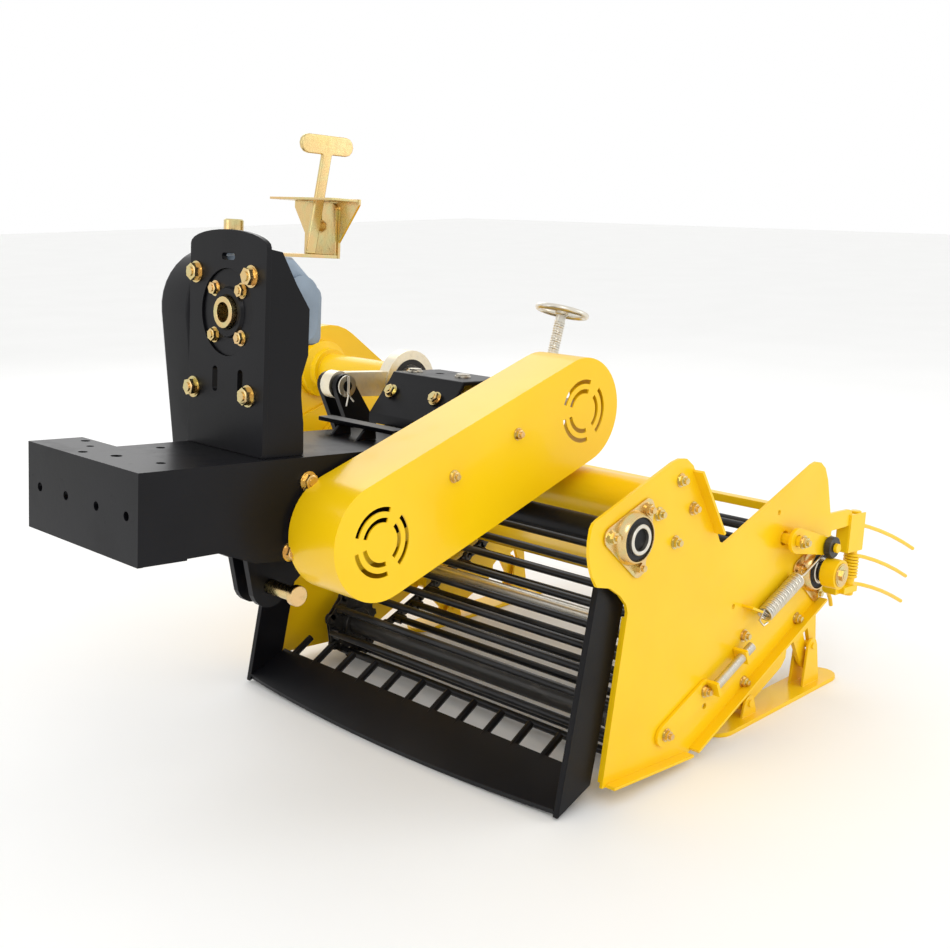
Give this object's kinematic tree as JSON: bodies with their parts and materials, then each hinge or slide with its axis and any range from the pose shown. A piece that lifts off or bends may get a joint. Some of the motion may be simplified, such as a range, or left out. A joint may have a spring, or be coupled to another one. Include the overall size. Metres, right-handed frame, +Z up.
{
  "type": "potato digger",
  "caption": "Belt-driven potato digger with a swinging share, a sloping bar conveyor between side plates, a shaking rake, two tilting skids and a hitch frame.",
  "frame": {"origin": "bottom centre of the bounding box of the parked machine, on the ground", "axes": "+X forward to the tractor, +Y to the digger's left, +Z up"},
  "size_m": [1.243, 0.71, 0.7523],
  "materials": {
    "yellow_paint": "gloss yellow paint",
    "black_paint": "gloss black paint",
    "plated_steel": "zinc plated steel",
    "bare_steel": "dark oiled steel",
    "gearbox_paint": "grey-blue cast housing"
  },
  "bodies": {
    "frame": {"hitch_frame": "black_paint", "lower_lugs": "black_paint", "upright": "black_paint", "chain_cover": "black_paint", "beam_bracket": "black_paint", "stop_plate": "black_paint", "side_plate_left": "yellow_paint", "side_plate_right": "yellow_paint", "belt_guard": "yellow_paint", "far_guard": "yellow_paint", "shaft_housing": "yellow_paint", "far_housing": "yellow_paint", "cross_beam": "yellow_paint", "screw_strap": "yellow_paint", "tie_flat": "yellow_paint", "tensioner_left": "yellow_paint", "tensioner_right": "yellow_paint", "cam_hub": "yellow_paint", "skid_carrier_left": "yellow_paint", "skid_carrier_right": "yellow_paint", "pivot_bearing_left": "plated_steel", "pivot_bearing_right": "plated_steel", "rear_bearing_left": "plated_steel", "rear_bearing_right": "plated_steel", "lower_pin": "plated_steel", "shift_bracket": "plated_steel", "shift_lever": "plated_steel", "guard_stud_front": "plated_steel", "guard_stud_rear": "plated_steel", "tie_tube": "plated_steel", "conveyor_web": "bare_steel", "front_shaft": "bare_steel", "rear_shaft": "bare_steel", "gearbox": "gearbox_paint"},
    "input_drive": {"input_hub": "plated_steel"},
    "eccentric_shaft": {"drive_shaft": "plated_steel"},
    "share": {"share_blade": "black_paint", "share_arm_left": "black_paint", "share_arm_right": "black_paint", "pivot_tube": "black_paint"},
    "connecting_rod": {"con_rod": "plated_steel"},
    "rake": {"rake_frame": "yellow_paint", "rake_lever": "yellow_paint"},
    "roller": {"rake_roller": "bare_steel"},
    "skid_shoe_left": {"skid_left": "yellow_paint"},
    "skid_shoe_right": {"skid_right": "yellow_paint"},
    "depth_screw": {"handwheel": "plated_steel"}
  },
  "joints": [
    {"name": "input_turn", "type": "hinge", "parent": "frame", "child": "input_drive", "pos_m": [0.44582, 0.0345, 0.57011], "axis": [0.9971, 0, 0.0767], "continuous": true},
    {"name": "eccentric_turn", "type": "hinge", "parent": "frame", "child": "eccentric_shaft", "pos_m": [0.06104, 0.003, 0.4352], "axis": [0, 1, 0], "continuous": true},
    {"name": "share_swing", "type": "hinge", "parent": "frame", "child": "share", "pos_m": [0.11849, 0.003, 0.31425], "axis": [0, 1, 0], "range_deg": [-1.9, 1.9]},
    {"name": "rod_swing", "type": "hinge", "parent": "share", "child": "connecting_rod", "pos_m": [0.18452, -0.122, 0.4467], "axis": [0, 1, 0], "range_deg": [-0.8, 0.8]},
    {"name": "rake_lift", "type": "hinge", "parent": "frame", "child": "rake", "pos_m": [-0.20931, 0.003, 0.2469], "axis": [0, 1, 0], "range_deg": [0, 8]},
    {"name": "roller_turn", "type": "hinge", "parent": "rake", "child": "roller", "pos_m": [-0.2873, 0.3415, 0.22366], "axis": [0, 1, 0], "continuous": true},
    {"name": "skid_tip_left", "type": "hinge", "parent": "frame", "child": "skid_shoe_left", "pos_m": [-0.17004, 0.284, 0.02325], "axis": [0, 1, 0], "range_deg": [0, 4]},
    {"name": "skid_tip_right", "type": "hinge", "parent": "frame", "child": "skid_shoe_right", "pos_m": [-0.17004, -0.278, 0.02325], "axis": [0, 1, 0], "range_deg": [0, 4]},
    {"name": "handwheel_turn", "type": "hinge", "parent": "frame", "child": "depth_screw", "pos_m": [-0.11544, 0.003, 0.52592], "axis": [-0.3156, 0, 0.9489], "continuous": true}
  ],
  "couplings": [
    {"joint": "rod_swing", "follows": "share_swing", "ratio": -0.387}
  ]
}
